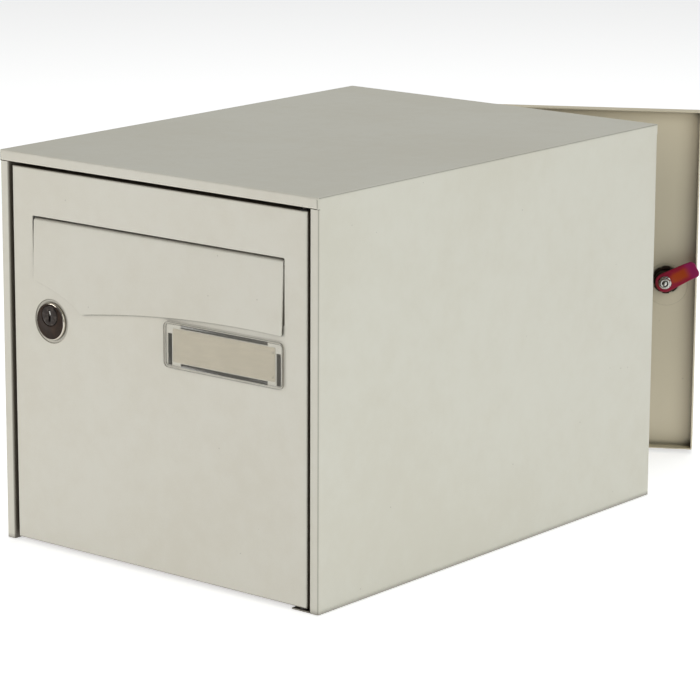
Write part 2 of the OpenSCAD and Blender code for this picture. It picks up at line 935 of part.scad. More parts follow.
// Tongue that passes the upper clip slot and hooks behind the door
module clip_tongue() {
  tongue_z0 = clip_slot_off + clip_slot_h / 2 - slip_fit - tongue_t;
  tongue_l = clip_slot_l - 2 * tongue_end_gap;
  hook_y = sheet + slip_fit;
  translate([-tongue_l / 2, -name_proud + name_window_t, tongue_z0])
    cube([tongue_l, name_proud - name_window_t + hook_y + tongue_hook_t, tongue_t]);
  translate([-tongue_l / 2, hook_y, tongue_z0])
    cube([tongue_l, tongue_hook_t, tongue_t + tongue_hook]);
}

module name_cover() {
  color(clear) translate([name_x, face_y, name_z]) {
    difference() {
      along_y(-name_proud, 0) round_rect(name_w, name_h, name_corner_r);
      along_y(-name_proud + name_window_t, cut)
        round_rect(name_w - 2 * name_wall, name_h - 2 * name_wall, name_corner_r - name_wall);
    }
    clip_tongue();
    mirror([0, 0, 1]) clip_tongue();
  }
}

module name_card() {
  color(card) translate([name_x, face_y, name_z])
    along_y(-card_t, 0) square([card_w, card_h], center = true);
}

casing_wrap();
floor_panel();
front_hinge_pins();
rear_hinge_pins();
hinge_clips();
front_strike();
rear_strike();
front_door_panel();
front_hinge_bushes();
flap_brackets();
flap_rod();
flap_buffers();
front_lock_housing();
front_lock_nut();
name_cover();
name_card();
letter_flap();
front_lock_plug();
front_lock_cam();
front_cam_nut();
rear_door_panel();
rear_hinge_bushes();
rear_lock_housing();
rear_lock_nut();
rear_lock_plug();
rear_lock_cam();
rear_cam_nut();
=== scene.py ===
"""Finishes, fine pieces and studio of a double-fronted parcel drop box."""

import json
import math

import bmesh
import bpy
from mathutils import Matrix, Vector

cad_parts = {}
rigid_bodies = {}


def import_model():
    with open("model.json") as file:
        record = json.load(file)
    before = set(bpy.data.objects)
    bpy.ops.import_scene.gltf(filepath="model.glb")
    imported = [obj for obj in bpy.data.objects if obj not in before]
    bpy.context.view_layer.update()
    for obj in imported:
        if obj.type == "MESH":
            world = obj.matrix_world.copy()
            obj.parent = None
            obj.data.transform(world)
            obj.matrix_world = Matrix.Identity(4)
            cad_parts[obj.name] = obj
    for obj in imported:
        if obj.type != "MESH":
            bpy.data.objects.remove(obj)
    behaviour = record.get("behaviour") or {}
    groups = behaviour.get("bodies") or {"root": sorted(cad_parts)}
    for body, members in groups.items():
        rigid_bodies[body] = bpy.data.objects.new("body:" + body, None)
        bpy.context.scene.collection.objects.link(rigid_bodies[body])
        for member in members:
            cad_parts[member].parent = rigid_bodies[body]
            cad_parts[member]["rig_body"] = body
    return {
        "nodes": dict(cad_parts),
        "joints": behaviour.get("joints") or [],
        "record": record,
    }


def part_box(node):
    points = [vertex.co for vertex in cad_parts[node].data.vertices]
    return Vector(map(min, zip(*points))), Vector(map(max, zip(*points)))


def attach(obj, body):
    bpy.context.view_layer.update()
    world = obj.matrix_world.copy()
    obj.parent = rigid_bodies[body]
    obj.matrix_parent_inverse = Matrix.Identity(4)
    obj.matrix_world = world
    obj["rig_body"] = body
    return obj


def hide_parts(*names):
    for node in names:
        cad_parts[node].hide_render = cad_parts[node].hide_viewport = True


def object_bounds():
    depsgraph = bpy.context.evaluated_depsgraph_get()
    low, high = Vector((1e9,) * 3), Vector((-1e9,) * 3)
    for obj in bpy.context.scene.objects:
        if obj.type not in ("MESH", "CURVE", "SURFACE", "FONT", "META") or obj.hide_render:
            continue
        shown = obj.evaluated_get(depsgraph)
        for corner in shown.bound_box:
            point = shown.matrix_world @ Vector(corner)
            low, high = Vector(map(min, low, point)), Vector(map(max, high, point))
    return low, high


bl_info = {
    "name": "Parcel drop box",
    "version": (1, 0, 0),
    "blender": (4, 5, 0),
    "location": "View3D > Sidebar > Drop box",
    "description": "Gives a parcel drop box its finishes, fine pieces and studio",
    "category": "Object",
}

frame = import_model()
CAD_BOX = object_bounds()
JOINTS = {joint["name"]: joint for joint in frame["joints"]}

MM = 0.001
ROUND = 96  # points round a turned piece
SAME_PLACE = 1e-6  # corners nearer than this are one corner
SAME_PLANE = math.radians(0.5)  # flats nearer than this to parallel are one flat
FOLD = math.radians(30)  # edges sharper than this are eased
CREASE_SAMPLES = 8
DISH_RIM = (15 * MM, 17 * MM)  # between these radii lies the rim of a pressed dish
ON_FACE = 0.01 * MM  # points nearer than this to a door's face lie on it
TALL = 5 * MM  # points of the floor tray above this belong to its lips
AIM = Vector((0, 0, 0.15))  # what the soft lights look at


# ---------------------------------------------------------------- places


def joint_place(name):
    """The point a joint turns about, on its axis."""
    return Vector(JOINTS[name]["pos_m"])


def joint_high(name):
    """A joint's high limit, in radians."""
    return math.radians(JOINTS[name]["range_deg"][1])


def rear_swing():
    """How far the rear door is drawn from closed, in radians."""
    return -math.radians(JOINTS["rear_door_hinge"]["range_deg"][0])


class LockPlace:
    """Where one lock stands: Y runs into the box, and the cam hangs down at turn 0."""

    def __init__(self, side):
        self.side = side
        self.door = side + "_door"
        self.plug = side + "_lock"
        self.axis_point = joint_place(side + "_lock_turn")
        if side == "front":
            self.facing, self.turn = 0.0, 0.0
        else:
            self.facing = math.pi + rear_swing()
            self.turn = math.pi / 2 + joint_high("rear_lock_turn")

    def matrix(self, turned=False):
        place = Matrix.Translation(self.axis_point) @ Matrix.Rotation(self.facing, 4, "Z")
        if turned:
            place = place @ Matrix.Rotation(self.turn, 4, "Y")
        return place


# ---------------------------------------------------------------- settings


def length(name, description, millimetres):
    """A length property; its default is written in millimetres."""
    return bpy.props.FloatProperty(
        name=name,
        description=description,
        default=millimetres * MM,
        precision=5,
        unit="LENGTH",
    )


def colour(name, description, default):
    return bpy.props.FloatVectorProperty(
        name=name,
        description=description,
        default=default,
        size=3,
        min=0.0,
        max=1.0,
        subtype="COLOR",
    )


def share(name, description, default):
    return bpy.props.FloatProperty(
        name=name, description=description, default=default, min=0.0, max=1.0, subtype="FACTOR"
    )


def angle(name, description, degrees):
    """An angle property; its default is written in degrees."""
    return bpy.props.FloatProperty(
        name=name, description=description, default=math.radians(degrees), subtype="ANGLE"
    )


def number(name, description, default):
    return bpy.props.FloatProperty(name=name, description=description, default=default)


class SheetSettings(bpy.types.PropertyGroup):
    """Painted sheet steel."""

    paint: colour("Paint", "Colour of the powder coat", (0.69, 0.672, 0.595))
    paint_thick: colour("Paint drift", "Colour where the coat is thicker", (0.66, 0.635, 0.55))
    # Rear door's coat, warmer and darker than the front's: painted warm bounce light and shade,
    # not a different paint.
    bounce_tint: colour("Warm paint", "Colour of the rear door's coat", (0.72, 0.64, 0.475))
    # Painted shade: the casing's inside is darkened towards this colour.
    inside_shade: colour("Inside", "Colour of the thin coat inside the casing", (0.20, 0.18, 0.145))
    # Painted shade deep in gaps and corners takes this colour, and so do the coat's dark flecks.
    shade_and_fleck: colour("Crease", "Colour of the coat deep in a crease", (0.050, 0.034, 0.018))
    crease_reach: length("Crease reach", "How wide a gap still looks dark", 7.0)
    gloss_roughness: share("Roughness", "Roughness of the powder coat", 0.44)
    peel_depth: length("Orange peel depth", "Depth of the powder coat's ripple", 0.02)
    peel_scale: number("Orange peel scale", "Ripples of the powder coat to a metre", 520.0)
    casing_edge: length("Casing edge", "Easing of the casing's cut edges", 0.12)
    door_edge: length("Door edge", "Easing of the doors' cut edges", 0.2)
    dish_slope: length("Dish slope", "Width of the slope round a pressed dish", 0.5)


class FlapSettings(bpy.types.PropertyGroup):
    """The letter flap and what holds it."""

    thickness: length("Thickness", "Thickness of the flap's sheet", 1.0)
    low_drop: length("Low corner", "Drop of the lowest corner below the lock end", 19.4)
    arch_drop: length("Arch", "Drop of the finger arch's crest below the lock end", 7.0)
    low_in: length("Low corner in", "Distance of the lowest corner from the lock end", 47.8)
    turn_in: length("Curve in", "How far along the lock end's curve turns down", 34.0)
    turn_drop: length("Curve drop", "Drop at which the lock end's curve turns down", 8.0)
    crest_in: length("Crest in", "Distance of the arch's crest from the hinge end", 33.6)
    lean: angle("Lean", "Angle at which the closed flap leans out", 2.3)
    corner: length("Corner radius", "Radius of the flap's lower corners", 1.6)
    edge: length("Edge", "Easing of the flap's edges", 0.28)
    columns: bpy.props.IntProperty(
        name="Columns", description="Steps along the flap", default=150, min=20
    )


class LockSettings(bpy.types.PropertyGroup):
    """The cam locks."""

    head: colour("Head", "Colour of the lock's head", (0.030, 0.020, 0.015))
    head_warm: colour("Head warm", "Warmer patches of the head", (0.046, 0.028, 0.019))
    red: colour("Cam edge", "Enamel along the cam's edges", (0.30, 0.003, 0.030))
    # Painted orange-brown reflection along the cam's middle.
    middle_reflection: colour("Cam middle", "Enamel along the cam's middle", (0.42, 0.050, 0.002))
    # Painted violet highlight on the cam's bent tip.
    tip_highlight: colour("Cam tip", "Enamel on the cam's bent tip", (0.34, 0.018, 0.11))
    metal: colour("Nickel", "Colour of the plated nuts", (0.62, 0.61, 0.58))
    head_rise: length("Plug above head", "Height of the plug's axis above the head's centre", 4.5)
    thread_pitch: length("Barrel thread", "Pitch of the barrel's thread", 1.0)
    thread_depth: length("Barrel thread depth", "Depth of the barrel's thread", 0.35)
    stud_pitch: length("Stud thread", "Pitch of the plug's threaded end", 0.7)
    stud_depth: length("Stud thread depth", "Depth of the plug's thread", 0.2)
    key_width: length("Keyway width", "Width of the keyway", 1.7)
    key_height: length("Keyway height", "Height of the keyway", 8.6)
    key_depth: length("Keyway depth", "Depth of the keyway", 6.0)
    cam_edge: length("Cam edge", "Rounding of the cam's edges", 0.55)
    nut_edge: length("Nut edge", "Easing of the ring nut's edges", 0.2)


class NameSettings(bpy.types.PropertyGroup):
    """The name holder."""

    corner: length("Corner radius", "Corner radius of the clear cover", 4.0)
    wall: length("Wall", "Width of the cover's edge wall", 1.6)
    window: length("Window", "Height of the window's underside above the door", 0.8)
    clear: colour("Clear", "Colour of the clear plastic", (0.90, 0.90, 0.86))
    veil: share("Veil", "How much the flat window veils what lies behind it", 0.008)
    edge_veil: share("Edge veil", "How much more the cover veils where it is seen at a slant", 0.5)
    # Painted dark refraction and shadow line on the cover's upright walls.
    wall_shade: colour("Smoke", "Colour that the cover's upright walls show", (0.085, 0.065, 0.04))
    wall_shade_share: share("Smoke share", "How much the cover's upright walls hide", 0.62)
    card: colour("Card", "Colour of the blank card", (0.53, 0.485, 0.385))
    slot_height: length("Slot height", "Height of the two clip slots in the door", 2.6)
    slot_out: length("Slot distance", "Distance of a clip slot from the holder's middle", 13.9)
    tongue_length: length("Tongue length", "Length of a clip tongue", 78.0)


class WeldSettings(bpy.types.PropertyGroup):
    """Spot weld marks."""

    radius: length("Radius", "Radius of a spot weld's mark", 2.6)
    floor_count: bpy.props.IntProperty(
        name="Along the floor", description="Marks along each side of the floor tray", default=8
    )
    floor_end: length("End distance", "Distance of the last mark from the tray's end", 22.0)


class StudioSettings(bpy.types.PropertyGroup):
    """Camera, lights and floor."""

    azimuth: angle(
        "Azimuth", "How far the camera stands to the right of straight ahead", 39.081
    )
    elevation: angle("Elevation", "How far the camera looks down", 13.189)
    roll: angle("Roll", "Roll of the camera", 0.249)
    distance: length("Distance", "Distance of the camera from its target", 2478.3)
    shift_right: length("Right", "How far the camera is moved to its right", 11.94)
    shift_up: length("Up", "How far the camera is moved up", -19.98)
    lens: number("Lens", "Focal length in millimetres", 169.65)
    floor: colour("Floor", "Colour of the floor", (0.86, 0.86, 0.86))
    floor_glow: number("Floor glow", "Light given off by the floor", 0.62)
    sky: number("Ambient", "Strength of the even light from all round", 0.14)


# ---------------------------------------------------------------- shader maths


class Value:
    """A socket in a node tree. Arithmetic on it adds Math nodes."""

    def __init__(self, finish, socket):
        self.finish = finish
        self.socket = socket

    def _math(self, operation, *values):
        return self.finish.node("ShaderNodeMath", dict(enumerate(values)), operation=operation)

    def __add__(self, other):
        return self._math("ADD", self, other)

    def __radd__(self, other):
        return self._math("ADD", other, self)

    def __sub__(self, other):
        return self._math("SUBTRACT", self, other)

    def __rsub__(self, other):
        return self._math("SUBTRACT", other, self)

    def __mul__(self, other):
        return self._math("MULTIPLY", self, other)

    def __rmul__(self, other):
        return self._math("MULTIPLY", other, self)

    def __pow__(self, other):
        return self._math("POWER", self, other)

    def clamped(self):
        held = self._math("ADD", self, 0.0)
        held.socket.node.use_clamp = True
        return held

    def between(self, low, high):
        """0 below low, 1 above high and smooth between."""
        return self.finish.node(
            "ShaderNodeMapRange",
            {"Value": self, "From Min": low, "From Max": high},
            interpolation_type="SMOOTHSTEP",
        )


class Finish:
    """A material and the few calls its node tree is written with."""

    def __init__(self, name):
        self.material = bpy.data.materials.new(name)
        self.material.use_nodes = True
        self.tree = self.material.node_tree
        self.tree.nodes.clear()
        self.place = self.node("ShaderNodeTexCoord", output="Object")

    def node(self, kind, values=None, output=0, **settings):
        """Adds a node: settings first, then its inputs' values or links. Returns one output."""
        node = self.tree.nodes.new(kind)
        for name, value in settings.items():
            setattr(node, name, value)
        for name, value in (values or {}).items():
            socket = node.inputs[name]
            if isinstance(value, Value):
                self.tree.links.new(value.socket, socket)
            elif hasattr(socket.default_value, "__len__") and len(socket.default_value) == 4:
                socket.default_value = (*value, 1.0) if len(value) == 3 else value
            else:
                socket.default_value = value
        return Value(self, node.outputs[output]) if node.outputs else None

    def blend(self, low, high, factor):
        """A colour between two colours."""
        return self.node(
            "ShaderNodeMix", {0: factor, 6: low, 7: high}, output=2, data_type="RGBA"
        )

    def mapped(self, stretch, turn=(0, 0, 0)):
        """Object coordinates, turned and stretched."""
        return self.node(
            "ShaderNodeMapping", {"Vector": self.place, "Rotation": turn, "Scale": stretch}
        )

    def part(self, vector, axis):
        """One part, X, Y or Z, of a vector."""
        return self.node("ShaderNodeSeparateXYZ", {"Vector": vector}, output=axis)

    def noise(self, scale, detail=2.0, at=None, roughness=0.5):
        values = {"Scale": scale, "Detail": detail, "Roughness": roughness}
        return self.node("ShaderNodeTexNoise", {"Vector": at or self.place, **values})

    def crease(self, reach):
        """0 deep in a gap or corner, where shade falls, and 1 in the open; it masks painted shade.
        """
        return self.node(
            "ShaderNodeAmbientOcclusion", {"Distance": reach}, output="AO", samples=CREASE_SAMPLES
        )

    def within(self, low, high, soft=0.4 * MM):
        """1 inside a box, 0 outside it."""
        inside = 1.0
        for axis in "XYZ":
            at = self.part(self.place, axis)
            a, b = getattr(low, axis.lower()), getattr(high, axis.lower())
            inside = at.between(a - soft, a) * inside
            inside = inside * (1 - at.between(b, b + soft))
        return inside

    def bump(self, height, depth):
        return self.node("ShaderNodeBump", {"Height": height, "Distance": depth, "Strength": 1.0})

    def surface(self, **inputs):
        """Ends the tree in one Principled shader."""
        names = {name.replace("_", " ").title(): value for name, value in inputs.items()}
        names = {name.replace("Ior", "IOR"): value for name, value in names.items()}
        shader = self.node("ShaderNodeBsdfPrincipled", names)
        self.node("ShaderNodeOutputMaterial", {"Surface": shader})
        return self.material


def powder_coat(sheet, name="ivory_powder_coat", bounce_tint=0.0, cover=None, shaded_inside=None):
    """Ivory powder coat with a fine ripple, slow drift of tone, dark flecks and painted shade in
    its gaps.

    cover is the box of a clear piece, under which no crease shade is painted, and shaded_inside is
    the box inside which the coat gets painted shade.
    """
    finish = Finish(name)
    drift = finish.noise(9.0, 3.0)
    cloud = finish.noise(70.0, 4.0, roughness=0.6)
    grain = finish.noise(1900.0, 2.0)
    peel = finish.noise(sheet.peel_scale, 2.0, roughness=0.45)
    tone = (drift * 0.5 + cloud * 0.35 + grain * 0.3).between(0.42, 0.72)
    shade = finish.blend(sheet.paint, sheet.paint_thick, tone)
    # Painted warm bounce light and shade: the coat is tinted warmer and darker.
    if bounce_tint:
        shade = finish.blend(shade, sheet.bounce_tint, bounce_tint)
    # Painted shade: the coat darkens towards the crease colour deep in gaps and corners.
    open_share = finish.crease(sheet.crease_reach).between(0.25, 0.88)
    if cover:
        open_share = (open_share + finish.within(*cover)).clamped()
    # Painted shade: darker inside the casing.
    if shaded_inside:
        shade = finish.blend(shade, sheet.inside_shade, finish.within(*shaded_inside) * 0.7)
    shade = finish.blend(sheet.shade_and_fleck, shade, open_share)
    fleck = finish.node(
        "ShaderNodeTexVoronoi", {"Vector": finish.place, "Scale": 55.0}, feature="F1"
    )
    fleck = (1 - fleck.between(0.018, 0.035)) * 0.3
    shade = finish.blend(shade, sheet.shade_and_fleck, fleck)
    return finish.surface(
        base_color=shade,
        roughness=sheet.gloss_roughness + 0.1 * (cloud - 0.5) + 0.06 * (grain - 0.5),
        normal=finish.bump(peel * 0.8 + grain * 0.2, sheet.peel_depth),
    )


def casing_coat(sheet):
    """The casing's coat, with painted shade inside."""
    low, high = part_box("casing_wrap")
    skin = Vector((0.5, 1.0, 0.5)) * MM
    return powder_coat(sheet, "casing_powder_coat", shaded_inside=(low + skin, high - skin))


def zinc_plate():
    finish = Finish("zinc_plate")
    spangle = finish.node(
        "ShaderNodeTexVoronoi", {"Vector": finish.place, "Scale": 420.0}, output="Color"
    )
    patch = finish.node("ShaderNodeRGBToBW", {"Color": spangle})
    rub = finish.noise(300.0, 4.0, at=finish.mapped(stretch=(1, 1, 0.08)))
    shade = finish.blend((0.50, 0.51, 0.52), (0.70, 0.70, 0.69), patch * 0.5 + rub * 0.5)
    return finish.surface(
        base_color=shade,
        metallic=1.0,
        roughness=0.3 + 0.18 * rub,
        normal=finish.bump(rub, 0.00001),
    )


def black_plate():
    """Black plating, rubbed a little paler here and there."""
    finish = Finish("black_plate")
    rub = finish.noise(650.0, 4.0)
    cloud = finish.noise(150.0, 2.0)
    shade = finish.blend((0.035, 0.029, 0.026), (0.085, 0.072, 0.062), rub.between(0.45, 0.75))
    return finish.surface(
        base_color=shade,
        metallic=0.85,
        roughness=0.24 + 0.16 * cloud,
        normal=finish.bump(rub, 0.000008),
    )


def nickel(locks):
    finish = Finish("nickel_plate")
    rub = finish.noise(900.0, 3.0)
    shade = finish.blend((0.42, 0.41, 0.38), locks.metal, rub.between(0.3, 0.6))
    # Painted shade: the plating darkens deep in the nut's crevices.
    dark = finish.crease(0.0012).between(0.2, 0.8)
    return finish.surface(
        base_color=finish.blend((0.05, 0.045, 0.04), shade, dark),
        metallic=1.0,
        roughness=0.2 + 0.14 * rub,
        normal=finish.bump(rub, 0.000006),
    )


def nylon():
    finish = Finish("black_nylon")
    cloud = finish.noise(260.0, 3.0)
    grain = finish.noise(3000.0, 1.0)
    return finish.surface(
        base_color=finish.blend((0.028, 0.027, 0.026), (0.045, 0.043, 0.041), cloud),
        roughness=0.48 + 0.12 * grain,
        normal=finish.bump(grain, 0.00001),
    )


def buffer_rubber():
    finish = Finish("buffer_rubber")
    cloud = finish.noise(500.0, 4.0)
    return finish.surface(
        base_color=finish.blend((0.012, 0.012, 0.012), (0.045, 0.044, 0.042), cloud),
        roughness=0.72 + 0.15 * cloud,
        normal=finish.bump(cloud, 0.00003),
    )


def lock_moulding(locks):
    """Dark, nearly glossy moulding with faint rubbing from keys and fingers."""
    finish = Finish("lock_moulding")
    cloud = finish.noise(170.0, 3.0)
    rub = finish.noise(700.0, 5.0, at=finish.mapped(stretch=(1, 1, 0.3), turn=(0, 0.6, 0)))
    grain = finish.noise(4200.0, 1.0)
    shade = finish.blend(locks.head, locks.head_warm, cloud.between(0.35, 0.7))
    return finish.surface(
        base_color=shade,
        roughness=0.32 + 0.16 * rub + 0.05 * grain,
        specular_ior_level=0.1,
        normal=finish.bump(rub * 0.6 + grain * 0.4, 0.000012),
    )


def polished_rim():
    """Polished rim of the lock's head, with fine turning marks."""
    finish = Finish("polished_rim")
    rub = finish.noise(1500.0, 3.0)
    return finish.surface(
        base_color=finish.blend((0.50, 0.45, 0.38), (0.72, 0.68, 0.60), rub),
        metallic=1.0,
        roughness=0.09 + 0.08 * rub,
        normal=finish.bump(rub, 0.000004),
    )


def cam_enamel(locks, place):
    """Red lacquer with a painted orange-brown reflection along the cam's middle line, red at its
    edges, and a painted violet highlight on its bent tip.
    """
    finish = Finish("cam_enamel_" + place.side)
    moved = finish.node(
        "ShaderNodeVectorMath", {0: finish.place, 1: tuple(place.axis_point)}, operation="SUBTRACT"
    )
    turn = place.matrix(turned=True).to_euler()
    local = finish.node(
        "ShaderNodeMapping", {"Vector": moved, "Rotation": tuple(turn)}, vector_type="TEXTURE"
    )
    x, z = finish.part(local, "X"), finish.part(local, "Z")
    cloud = finish.noise(190.0, 3.0)
    off_middle = (x * x) ** 0.5 + (cloud - 0.5) * 3 * MM
    edge = off_middle.between(2.0 * MM, 5.6 * MM)
    # Mask of the painted violet highlight on the bent tip.
    tip = (-1 * z).between(17 * MM, 24 * MM)
    boss = 1 - (-1 * z).between(3 * MM, 9 * MM)
    # Painted orange-brown reflection in the middle, red enamel at the edges and round the boss.
    shade = finish.blend(locks.middle_reflection, locks.red, (edge + boss * 0.8).clamped())
    return finish.surface(
        base_color=finish.blend(shade, locks.tip_highlight, tip),
        roughness=0.3 + 0.14 * finish.noise(800.0, 3.0),
        specular_ior_level=0.3,
        coat_weight=0.15,
        coat_roughness=0.06,
        normal=finish.bump(cloud, 0.00004),
    )


def clear_moulding(name):
    """Clear plastic: it shows what lies behind, and whitens where it is seen edge on."""
    finish = Finish("clear_moulding")
    facing = finish.node("ShaderNodeLayerWeight", {"Blend": 0.5}, output="Facing")
    scuff = finish.noise(420.0, 4.0, at=finish.mapped(stretch=(0.2, 1, 1)))
    veil = name.veil + name.edge_veil * facing**3 + 0.012 * scuff.between(0.5, 0.75)
    return finish.surface(
        base_color=name.clear,
        roughness=0.05 + 0.1 * scuff.between(0.45, 0.8),
        alpha=veil.clamped(),
        ior=1.49,
        normal=finish.bump(finish.noise(60.0, 2.0), 0.00003),
    )


def clear_wall(name):
    """Upright walls of the clear plastic, with painted dark refraction and shadow, as a thick
    clear edge shows dark.
    """
    finish = Finish("clear_wall")
    scuff = finish.noise(500.0, 3.0)
    return finish.surface(
        # Painted dark refraction and shadow on the walls.
        base_color=finish.blend(name.wall_shade, (0.30, 0.26, 0.19), scuff.between(0.5, 0.8)),
        roughness=0.06 + 0.08 * scuff,
        alpha=name.wall_shade_share + 0.2 * (scuff - 0.5),
        ior=1.49,
        normal=finish.bump(scuff, 0.00001),
    )


def blank_card(name):
    finish = Finish("blank_card")
    fibre = finish.noise(420.0, 5.0, at=finish.mapped(stretch=(0.12, 1, 1)), roughness=0.65)
    mottle = finish.noise(60.0, 3.0)
    pale = tuple(min(1.0, channel * 1.12) for channel in name.card)
    return finish.surface(
        base_color=finish.blend(name.card, pale, (fibre * 0.7 + mottle * 0.4).between(0.35, 0.75)),
        roughness=0.78 + 0.1 * fibre,
        normal=finish.bump(fibre, 0.00002),
    )


def studio_floor(studio):
    finish = Finish("studio_floor")
    cloud = finish.noise(1.5, 3.0)
    low = tuple(channel * 0.985 for channel in studio.floor)
    return finish.surface(
        base_color=finish.blend(low, studio.floor, cloud),
        roughness=0.85,
        emission_color=(1.0, 1.0, 1.0),
        emission_strength=studio.floor_glow,
    )


def finish_called(name, make, *args):
    """The material of that name, made on its first use."""
    found = bpy.data.materials.get(name)
    return found or make(*args)


# ---------------------------------------------------------------- making pieces


def mesh_of(name, bm):
    """Turns a BMesh into a mesh and lets it go."""
    mesh = bpy.data.meshes.new(name)
    bm.to_mesh(mesh)
    bm.free()
    return mesh


def add_object(name, content):
    made = bpy.data.objects.new(name, content)
    bpy.context.scene.collection.objects.link(made)
    return made


def put_out(name, bm, material, body, slot, replaces=()):
    """Makes a mesh piece that rides on a body."""
    mesh = mesh_of(name, bm)
    mesh.materials.append(material)
    mesh.shade_smooth()
    piece = add_object(name, mesh)
    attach(piece, body)
    if replaces:
        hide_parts(*replaces)
    return piece


def ease_edges(piece, width, segments=2):
    """Rounds a piece's sharp edges and keeps its flats looking flat."""
    bevel = piece.modifiers.new("Eased edges", "BEVEL")
    bevel.width = width
    bevel.segments = segments
    bevel.limit_method = "ANGLE"
    bevel.angle_limit = FOLD
    bevel.use_clamp_overlap = False
    bevel.miter_outer = "MITER_ARC"
    even = piece.modifiers.new("Even shading", "WEIGHTED_NORMAL")
    even.keep_sharp = True


def node_body(node):
    return frame["nodes"][node]["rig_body"]


def node_slot(node):
    rows = frame["record"]["subparts"]
    return next(row["material_slot"] for row in rows if row["node"] == node)


def eased_copy(node, material, width, segments=2, reshape=None):
    """Stands for a CAD node: its flats joined up and its cut edges eased."""
    bm = bmesh.new()
    bm.from_mesh(frame["nodes"][node].data)
    bmesh.ops.remove_doubles(bm, verts=bm.verts, dist=SAME_PLACE)
    bmesh.ops.dissolve_limit(bm, angle_limit=SAME_PLANE, verts=bm.verts, edges=bm.edges)
    if reshape:
        reshape(bm)
    piece = put_out(node + "_eased", bm, material, node_body(node), node_slot(node), [node])
    ease_edges(piece, width, segments)
    return piece


def loft(bm, rings, closed=False):
    """Skins rings of the same number of points, and caps both ends unless closed."""
    loops = [[bm.verts.new(point) for point in ring] for ring in rings]
    pairs = list(zip(loops, loops[1:]))
    if closed:
        pairs.append((loops[-1], loops[0]))
    else:
        bm.faces.new(loops[0])
        bm.faces.new(loops[-1])
    for near, far in pairs:
        for i in range(len(near)):
            j = (i + 1) % len(near)
            bm.faces.new((near[i], near[j], far[j], far[i]))


def box(bm, low, high):
    """A closed block between two corners."""
    made = bmesh.ops.create_cube(bm, size=1.0)["verts"]
    for vert in made:
        vert.co = [lo if c < 0 else hi for lo, hi, c in zip(low, high, vert.co)]


def place_all(bm, matrix):
    bmesh.ops.recalc_face_normals(bm, faces=bm.faces)
    bmesh.ops.transform(bm, matrix=matrix, verts=bm.verts)


def turned(radius, depth, rise=0.0):
    """Ring round the Y axis."""
    steps = (2 * math.pi * i / ROUND for i in range(ROUND))
    return [(radius * math.cos(a), depth, rise + radius * math.sin(a)) for a in steps]


def turned_within(radius, depth, limit):
    """Ring round the Y axis whose radius is held inside limit(angle)."""
    ring = []
    for i in range(ROUND):
        a = 2 * math.pi * i / ROUND
        r = min(radius, limit(a))
        ring.append((r * math.cos(a), depth, r * math.sin(a)))
    return ring


def flats(half):
    """Limit of a barrel with flats above and below."""
    return lambda a: half / max(abs(math.sin(a)), 1e-6)


def square(half):
    return lambda a: half / max(abs(math.cos(a)), abs(math.sin(a)))


def hexagon(half):
    def limit(a):
        return half / math.cos((a + math.pi / 6) % (math.pi / 3) - math.pi / 6)

    return limit


def slit(half_width, half_height):
    """Limit of an upright slot with round ends."""

    def limit(a):
        c, s = abs(math.cos(a)), abs(math.sin(a))
        straight = half_height - half_width
        side = half_width / max(c, 1e-6)
        if side * s <= straight:
            return side
        inside = half_width**2 - (straight * c) ** 2
        return straight * s + math.sqrt(max(inside, 0.0))

    return limit


def thread(start, end, radius, pitch, depth, ring):
    """Rings of a thread from one depth to another."""
    count = max(1, round(abs(end - start) / pitch))
    step = (end - start) / count
    rings = []
    for i in range(count):
        at = start + i * step
        rings += [ring(radius, at), ring(radius, at + 0.35 * step)]
        rings += [ring(radius - depth, at + 0.55 * step), ring(radius - depth, at + 0.8 * step)]
    return rings + [ring(radius, end)]


def round_rect(width, height, radius, depth, corner_steps=8):
    """Ring round the Y axis with the shape of a rectangle with round corners."""
    ring = []
    for quarter in range(4):
        centre_x = (width / 2 - radius) * (1, -1, -1, 1)[quarter]
        centre_z = (height / 2 - radius) * (1, 1, -1, -1)[quarter]
        for i in range(corner_steps + 1):
            a = math.pi / 2 * (quarter + i / corner_steps)
            ring.append((centre_x + radius * math.cos(a), depth, centre_z + radius * math.sin(a)))
    return ring


# ---------------------------------------------------------------- operators


class DROPBOX_OT_casing(bpy.types.Operator):
    """Paint the casing and the floor tray and ease their cut edges"""

    bl_idname = "dropbox.casing"
    bl_label = "Casing"

    def execute(self, context):
        sheet = context.scene.dropbox_sheet
        paint = finish_called("casing_powder_coat", casing_coat, sheet)
        eased_copy("casing_wrap", paint, sheet.casing_edge)
        eased_copy("floor_panel", paint, sheet.casing_edge)
        return {"FINISHED"}


class DROPBOX_OT_doors(bpy.types.Operator):
    """Paint both doors, ease their edges and slope the rims of their dishes"""

    bl_idname = "dropbox.doors"
    bl_label = "Doors"

    def execute(self, context):
        sheet = context.scene.dropbox_sheet
        locks = context.scene.dropbox_locks
        paints = {
            "front": powder_coat(sheet, "front_powder_coat", cover=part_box("name_cover")),
            # The rear door's coat is tinted warmer and darker: painted bounce light and shade.
            "rear": powder_coat(sheet, "bounce_lit_powder_coat", bounce_tint=0.9),
        }
        for side, paint in paints.items():
            place = LockPlace(side)
            into_lock = place.matrix().inverted()

            def slope_dish(bm):
                moved = 0
                for vert in bm.verts:
                    at = into_lock @ vert.co
                    across = Vector((at.x, 0, at.z + locks.head_rise))
                    if abs(at.y) < ON_FACE and DISH_RIM[0] < across.length < DISH_RIM[1]:
                        at += across.normalized() * sheet.dish_slope
                        vert.co = place.matrix() @ at
                        moved += 1
                if not moved:
                    raise RuntimeError("The dish's rim wasn't found on the " + side + " door")

            eased_copy(side + "_door_panel", paint, sheet.door_edge, 3, slope_dish)
        return {"FINISHED"}


